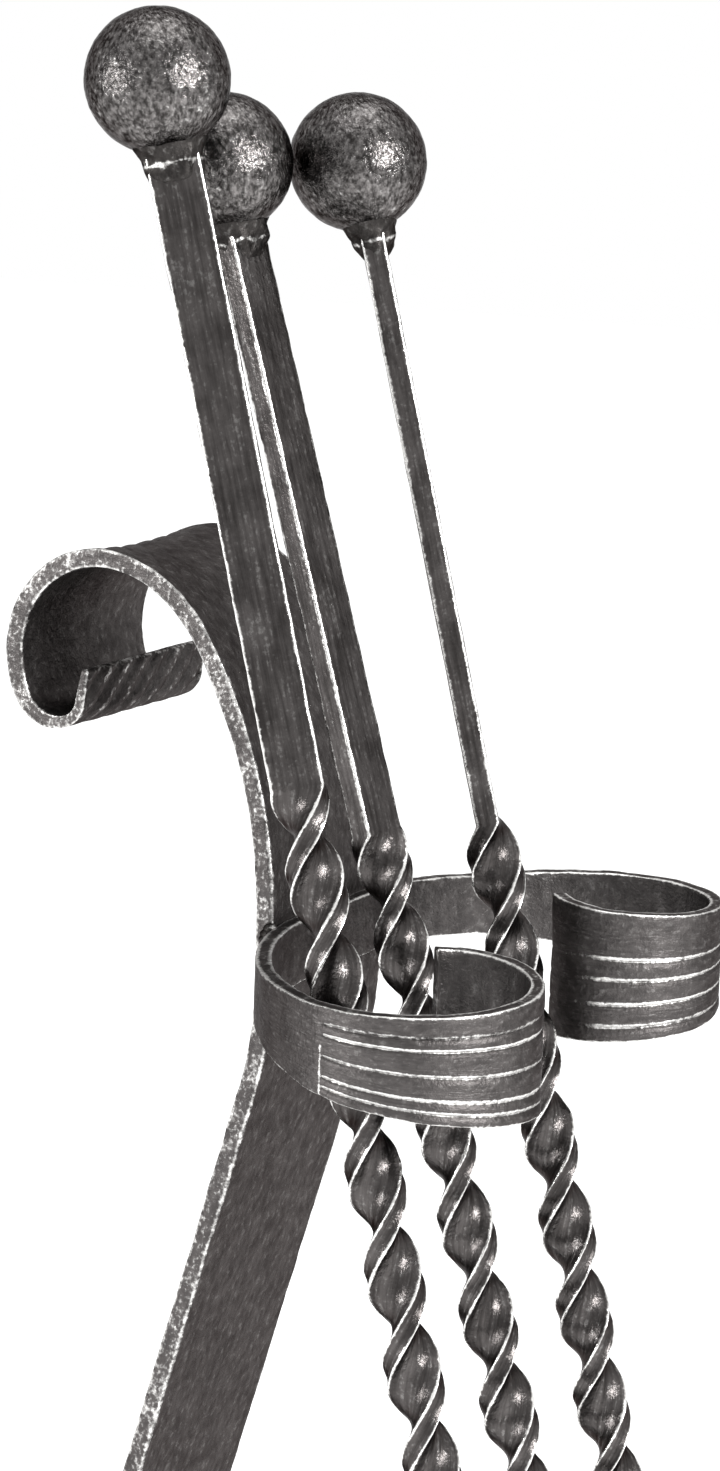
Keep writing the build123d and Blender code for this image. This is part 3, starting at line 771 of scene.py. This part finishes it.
def ball(name, tool, seed):
    """A hammered solid ball, made by rounding a finely divided cube."""
    steps = 56
    index, points, faces = {}, [], []
    for axis in range(3):
        for sign in (-1, 1):
            grid = {}
            for i in range(steps + 1):
                for j in range(steps + 1):
                    p = [0.0, 0.0, 0.0]
                    p[axis] = sign
                    p[(axis + 1) % 3] = math.tan(math.pi / 4 * (2 * i / steps - 1))
                    p[(axis + 2) % 3] = math.tan(math.pi / 4 * (2 * j / steps - 1))
                    key = tuple(round(q, 6) for q in p)
                    if key not in index:
                        index[key] = len(points)
                        points.append(unit(p))
                    grid[i, j] = index[key]
            for i in range(steps):
                for j in range(steps):
                    quad = (grid[i, j], grid[i + 1, j], grid[i + 1, j + 1], grid[i, j + 1])
                    faces.append(quad if sign > 0 else quad[::-1])
    points = np.array(points)
    worn = np.zeros(len(points))
    shaped = np.zeros_like(points)
    for k, p in enumerate(points):
        q = Vector(p)
        dent = noise.noise(q * 5.5 + Vector((seed, 0, 0))) * 0.00012
        dent += noise.noise(q * 13.0 + Vector((0, seed, 0))) * 0.00007
        worn[k] = 0.42 + 0.30 * noise.noise(q * 2.2 + Vector((seed, seed, 0))) + 0.20 * noise.noise(q * 17.0)
        shaped[k] = p * (KNOB_RADIUS - 0.0002 + dent)
    shaped = tool.at(shaped[:, 0], shaped[:, 1], shaped[:, 2] + tool.length)
    coords = []
    for face in faces:
        for k in face:
            p = points[k]
            latitude = math.asin(np.clip(p[2], -1, 1))
            longitude = math.atan2(p[1], abs(p[0]) + 1e-9)
            coords.append((latitude * KNOB_RADIUS, longitude * KNOB_RADIUS))
    return make_piece(name + "_ball", shaped, faces, worn, coords, body=name, slot="ball_steel",
                      replaced=[name + "_knob"])


def turned(tool, outline, sides):
    """A turned skin from (radius, height, wear) points listed from low to high on the outside."""
    angles = np.arange(sides) * 2 * math.pi / sides
    rings, worn = [], []
    for r, h, w in outline:
        rings.append(tool.at(r * np.cos(angles), r * np.sin(angles), np.full(sides, h)))
        worn.append(np.full(sides, w))
    runs = run_along([(r, h) for r, h, w in outline])
    radius = max(r for r, h, w in outline)
    around = np.arange(sides + 1) * 2 * math.pi * radius / sides
    return skin(np.array(rings), runs, around, np.array(worn))


def collar(name, tool, seed):
    """Weld that flares from the bar's oblong section into the ball."""
    top = tool.length - KNOB_RADIUS
    turn = math.radians(TOOLS[name]["turn"])
    sides = 64
    rings, worn, runs = [], [], []
    for k in range(25):
        t = k / 24
        wide = 0.0064 + 0.0026 * t**1.6
        thin = 0.0031 + 0.0044 * t**0.8
        ring, ring_worn = [], []
        for q in range(sides):
            a = 2 * math.pi * q / sides
            lump = noise.noise(Vector((math.cos(a) * 1.7 + seed, math.sin(a) * 1.7, t * 2.2)))
            fine = noise.noise(Vector((math.cos(a) * 5.0 + seed, math.sin(a) * 5.0, t * 7.0)))
            x = (wide + 0.0011 * lump * math.sin(math.pi * t) + 0.0002 * fine) * math.cos(a)
            y = (thin + 0.0016 * lump * math.sin(math.pi * t) + 0.0002 * fine) * math.sin(a)
            height = top - 0.0068 + 0.0096 * t
            across = x * math.cos(turn) - y * math.sin(turn)
            ahead = x * math.sin(turn) + y * math.cos(turn)
            ring.append(tool.at(across, ahead, height))
            ring_worn.append(0.10 + 0.46 * math.exp(-((t - 0.45 - 0.10 * lump) / 0.07) ** 2))
        rings.append(ring)
        worn.append(ring_worn)
        runs.append(0.0096 * t)
    around = np.arange(sides + 1) * 0.0008
    make_piece(name + "_weld_collar", *skin(np.array(rings), runs, around, np.array(worn)), body=name,
               slot="weld", replaced=[name + "_collar"])


tools = {name: ToolFrame(name) for name in TOOLS}
for number, (name, tool) in enumerate(tools.items()):
    shaft(name, tool)
    ball(name, tool, 3.7 * number + 1.0)
    collar(name, tool, 5.1 * number + 0.4)

# ---- shovel blade: a sheet with turned-up sides and back
tool = tools["shovel"]
BLADE_LENGTH, BLADE_WIDE, BLADE_TOP, WALL, TIP_WALL, SHEET = 0.125, 0.092, 0.078, 0.018, 0.005, 0.002
back_y = -BAR_THIN / 2
rows = np.linspace(0.0, BLADE_LENGTH - 0.006, 46)
bend = 0.0045


def blade_side(h, offset):
    """Half of the blade's section at a height: points (x, y) from the middle to the top of the wall."""
    half = BLADE_WIDE / 2 + (BLADE_TOP - BLADE_WIDE) / 2 * h / BLADE_LENGTH - offset
    wall = TIP_WALL + (WALL - TIP_WALL) * min(h / (BLADE_LENGTH * 0.7), 1.0)
    y0 = back_y - offset
    r = bend - offset
    flat = [(half - r) * k / 22 for k in range(23)]
    section = [(x, y0) for x in flat]
    for k in range(1, 7):
        a = math.radians(90.0 * k / 6)
        section.append((half - r + r * math.sin(a), y0 - r + r * math.cos(a)))
    for k in range(1, 8):
        section.append((half, y0 - r - (wall - bend) * k / 7))
    return section


def blade_grid(offset):
    grid = []
    for h in rows:
        side = blade_side(h, offset)
        grid.append([tool.at(-x, y, h) for x, y in side[:0:-1]] + [tool.at(x, y, h) for x, y in side])
    # the back wall: the last rows turn up towards the front
    last = rows[-1]
    side = blade_side(last, offset)
    for k in range(1, 13):
        a = math.radians(min(90.0 * k / 6, 90.0))
        r = 0.006 - offset
        rise = (r * (1 - math.cos(a)) if k <= 6 else r + (WALL - 0.006) * (k - 6) / 6)
        h = last + r * math.sin(a)
        row = []
        for x, y in side:
            y_new = min(y, back_y - offset - rise)
            row.append((x, y_new))
        pull = 1 - 0.035 * k / 12
        left = [tool.at(-x * pull, y, h) for x, y in row[:0:-1]]
        grid.append(left + [tool.at(x * pull, y, h) for x, y in row])
    return np.array(grid)


outer = blade_grid(0.0)
inner = blade_grid(SHEET)
n, m = outer.shape[:2]
points = np.vstack([outer.reshape(-1, 3), inner.reshape(-1, 3)])
base = n * m
faces = []
for i in range(n - 1):
    for j in range(m - 1):
        corners = (i * m + j, (i + 1) * m + j, (i + 1) * m + j + 1, i * m + j + 1)
        faces.append(corners)
        faces.append((base + corners[0], base + corners[3], base + corners[2], base + corners[1]))
border = [(0, j) for j in range(m)] + [(i, m - 1) for i in range(1, n)]
border += [(n - 1, j) for j in range(m - 2, -1, -1)] + [(i, 0) for i in range(n - 2, 0, -1)]
for k in range(len(border)):
    a, b = border[k], border[(k + 1) % len(border)]
    p, q = a[0] * m + a[1], b[0] * m + b[1]
    faces.append((p, q, base + q, base + p))
worn = np.zeros((n, m))
for i, j in border:
    worn[i, j] = 1.0
worn[1, :] = np.maximum(worn[1, :], 0.4)
worn[:, 1] = np.maximum(worn[:, 1], 0.4)
worn[:, -2] = np.maximum(worn[:, -2], 0.4)
corner_columns = [j for j in range(m) if 23 <= abs(j - (m - 1) // 2) <= 28]
worn[:, corner_columns] = np.maximum(worn[:, corner_columns], 0.35)
coords = []
for face in faces:
    for k in face:
        kk = k % base
        coords.append(((kk // m) * 0.0028, (kk % m) * 0.002))
both_sides = np.concatenate([worn.ravel(), worn.ravel()])
make_piece("shovel_blade_sheet", points, faces, both_sides, coords, body="shovel", slot="sheet",
           replaced=["shovel_blade"], smooth_angle=50.0)


# ---- rivets, brush pin
def stud(tool, x, z, low, high, radius, head, dome, seed):
    """A rivet along the tool's Y with a hammered dome at each end."""
    rings, worn, runs = [], [], []
    head_shape = [(0.25, 1.0), (0.55, 0.88), (0.8, 0.6), (0.95, 0.28)]
    stations = [(share, low - dome * rise) for share, rise in head_shape]
    stations += [(1.0, low - 0.0001), (0.98, low), (radius / head, low)]
    stations += [(radius / head, high), (0.98, high), (1.0, high + 0.0001)]
    stations += [(share, high + dome * rise) for share, rise in reversed(head_shape)]
    for share, y in stations:
        ring = []
        for k in range(28):
            a = -2 * math.pi * k / 28
            r = head * share * (1 + 0.05 * noise.noise(Vector((math.cos(a) + seed, math.sin(a), y * 400))))
            ring.append(tool.at(x + r * math.cos(a), y, z + r * math.sin(a)))
        rings.append(ring)
        worn.append([0.75 if share > 0.9 else 0.45] * 28)
        runs.append(y)
    return skin(np.array(rings), runs, np.arange(29) * 0.001, np.array(worn))


studs = []
for z in (0.070, 0.105):
    studs.append(stud(tool, 0.0, z, back_y - SHEET, BAR_THIN / 2, 0.0025, 0.005, 0.002, z * 100))
make_piece("shovel_rivet_heads", *join(*studs), body="shovel", slot="rivet", replaced=["shovel_rivets"])

tool = tools["brush"]
pin = stud(tool, 0.0, 0.114, -0.0095, 0.0095, 0.0020, 0.0026, 0.0007, 2.2)
make_piece("brush_cross_pin", *pin, body="brush", slot="rivet", replaced=["brush_pin"])

# ---- brush cup: turned outside, neck and mouth with a rolled rim
# each point is (radius, height, wear), from the rolled rim up to the neck
cup = [(0.0180, 0.0662, 0.2), (0.0205, 0.0660, 0.9), (0.0215, 0.0657, 1.0), (0.0222, 0.0662, 1.0),
       (0.0223, 0.0680, 0.8), (0.0219, 0.0692, 0.3), (0.0219, 0.0710, 0.0)]
cup += [(0.0220, 0.071 + 0.0017 * k, 0.0) for k in range(1, 10)]
cup += [(0.0220 - 0.0006 * k * k / 9 * 1.1, 0.0863 + 0.0018 * k, 0.12) for k in range(1, 4)]
for k in range(9):
    t = k / 8
    cup.append((0.0212 - 0.0112 * (3 * t * t - 2 * t**3), 0.0925 + 0.0095 * t, 0.15 if k < 8 else 0.4))
cup += [(0.0098, 0.1030, 0.3), (0.0096, 0.1060, 0.0), (0.0096, 0.1120, 0.0), (0.0096, 0.1180, 0.0),
        (0.0097, 0.1225, 0.2), (0.0102, 0.1238, 0.8), (0.0102, 0.1252, 1.0), (0.0096, 0.1260, 1.0),
        (0.0070, 0.1260, 0.6), (0.0064, 0.1252, 0.3)]
piece = make_piece("brush_cup_shell", *turned(tool, cup, 96), body="brush", slot="sheet",
                   replaced=["brush_cup"])
roughen(piece, 0.006, 0.00018, seed=21.0)

# ---- bristles: tufts of stiff fibre from the block to the pan
random_state = np.random.RandomState(7)
STRANDS = 1500
all_points, all_faces = [], []
count = 0
for k in range(STRANDS):
    r = math.sqrt((k + 0.5) / STRANDS)
    a = k * 2.399963 + random_state.uniform(-0.2, 0.2)
    top_r = 0.0192 * r
    low_r = 0.0258 * r * random_state.uniform(0.93, 1.03)
    low_a = a + random_state.uniform(-0.10, 0.10)
    bow = random_state.uniform(-0.0009, 0.0009)
    thick = random_state.uniform(0.00032, 0.00050)
    top = tool.at(top_r * math.cos(a), top_r * math.sin(a), 0.0740)
    end = tool.at(low_r * math.cos(low_a), low_r * math.sin(low_a), -0.010)
    reach = (top[2] - (TIP_Z + abs(random_state.normal(0.0, 0.0005)))) / (top[2] - end[2])
    end = top + (end - top) * reach
    sideways = tool.x * math.cos(a * 3) + tool.y * math.sin(a * 3)
    path = []
    for t in (0.0, 0.3, 0.6, 0.85, 1.0):
        path.append(top + (end - top) * t + sideways * bow * math.sin(math.pi * t))
    for t, p in enumerate(path):
        w = thick * (1.0 if t < 3 else (0.8 if t == 3 else 0.45))
        for q in range(4):
            b = math.pi / 2 * q + a
            all_points.append(p + (tool.x * math.cos(b) + tool.y * math.sin(b)) * w)
    for t in range(4):
        for q in range(4):
            s = (q + 1) % 4
            this, after = count + t * 4, count + (t + 1) * 4
            all_faces.append((this + s, this + q, after + q, after + s))
    all_faces.append((count, count + 1, count + 2, count + 3))
    all_faces.append((count + 19, count + 18, count + 17, count + 16))
    count += 20
all_coords = [(0.0, 0.0)] * sum(len(f) for f in all_faces)
make_piece("brush_bristle_tufts", np.array(all_points), all_faces, np.zeros(len(all_points)), all_coords,
           body="brush", slot="bristle", replaced=["brush_bristles"], smooth_angle=60.0)

# ---- poker hook: a curved spur, drawn to a blunt tip
tool = tools["poker"]
hook_moves = [(None, 0.015), (0.016, 105), (None, 0.014)]
pos, way, run = route((BAR_THIN / 2 - 0.001, 0.078), 0.0, hook_moves, 0.0010)
u, v, wear, around = bar_outline(0.006, 0.006, 0.0006, middle=0.0012)
rings = np.zeros((len(run), len(u), 3))
ring_wear = np.zeros((len(run), len(u)))
for i in range(len(run)):
    left = (run[-1] - run[i])
    size = float(np.interp(left, [0.0, 0.0008, 0.004, 0.022], [0.30, 0.48, 0.62, 1.0]))
    a = (u - 0.003) * size
    b = (v - 0.003) * size
    forward, rise = pos[i]
    rings[i] = tool.at(-a, -(forward - way[i, 1] * b), rise + way[i, 0] * b)
    ring_wear[i] = np.maximum(wear, 1.0 if left < 0.001 else 0.0)
make_piece("poker_spur", *skin(rings, run, around, ring_wear), body="poker", slot="forged_twist",
           replaced=["poker_hook"])

# weld ring round the spur's root
rings, worn = [], []
for k in range(9):
    t = k / 8
    ring = []
    for q in range(40):
        a = 2 * math.pi * q / 40
        lump = noise.noise(Vector((math.cos(a) * 2, math.sin(a) * 2, t * 2)))
        r = 0.0052 * (1 - 0.30 * t**1.5) * (1 + 0.10 * lump) * (1 + 0.05 * math.sin(a * 9))
        ring.append(tool.at(r * math.cos(a), -(BAR_THIN / 2 - 0.0004 + 0.0024 * t), 0.078 + r * math.sin(a)))
    rings.append(ring)
    worn.append([0.3 + 0.2 * math.sin(k)] * 40)
spur_weld = skin(np.array(rings), np.linspace(0, 0.004, 9), np.arange(41) * 0.0008, np.array(worn))
make_piece("poker_spur_weld", *spur_weld, body="poker", slot="weld", replaced=["poker_hook_weld"])

# the wooden block stays as the CAD made it
for slot in frame["nodes"]["brush_block"].material_slots:
    slot.material = MATERIALS["block"]


# ------------------------------------------------------------------ studio

def area_light(name, direction, distance, size, power, target=(0.0, 0.0, 0.45)):
    data = bpy.data.lights.new(name, "AREA")
    data.shape = "RECTANGLE"
    data.size, data.size_y = size
    data.energy = power
    light = bpy.data.objects.new(name, data)
    bpy.context.scene.collection.objects.link(light)
    way = unit(right * direction[0] + up * direction[1] + back * direction[2])
    light.location = Vector(np.array(target) + way * distance)
    light.rotation_euler = Vector(way).to_track_quat("Z", "Y").to_euler()


area_light("key_right", (0.73, 0.22, 0.66), 1.5, (0.20, 0.32), 24.0)
area_light("fill_left", (-0.90, 0.10, 0.44), 1.5, (0.20, 0.30), 10.0)
area_light("top", (0.1, 1.0, 0.2), 1.8, (1.4, 1.4), 14.0)

size = 6.0
cross = np.linspace(-size, size, 9)
profile = [(-size, 0.0), (-2.0, 0.0), (0.0, 0.0), (2.0, 0.0), (size, 0.0)]
points, faces = [], []
for y, z in profile:
    for x in cross:
        points.append((x, y, z))
for i in range(len(profile) - 1):
    for j in range(len(cross) - 1):
        a = i * len(cross) + j
        faces.append((a, a + 1, a + len(cross) + 1, a + len(cross)))
mesh = bpy.data.meshes.new("floor")
mesh.from_pydata(points, [], faces)
floor = bpy.data.objects.new("floor", mesh)
bpy.context.scene.collection.objects.link(floor)
material, tree, shader, places = new_material("pale_floor")
grain = noise_node(tree, places, 3.0, 3.0)
tree.links.new(mix_colour(tree, grain, (0.93, 0.93, 0.93), (0.96, 0.96, 0.96)), shader.inputs["Base Color"])
shader.inputs["Roughness"].default_value = 0.8
shader.inputs["Emission Color"].default_value = (1.0, 1.0, 1.0, 1.0)
shader.inputs["Emission Strength"].default_value = 0.25
mesh.materials.append(material)

world = bpy.data.worlds.new("studio")
world.use_nodes = True
world.node_tree.nodes["Background"].inputs["Color"].default_value = (1.0, 1.0, 1.0, 1.0)
world.node_tree.nodes["Background"].inputs["Strength"].default_value = 1.0
bpy.context.scene.world = world
bpy.context.scene.view_settings.view_transform = "Standard"
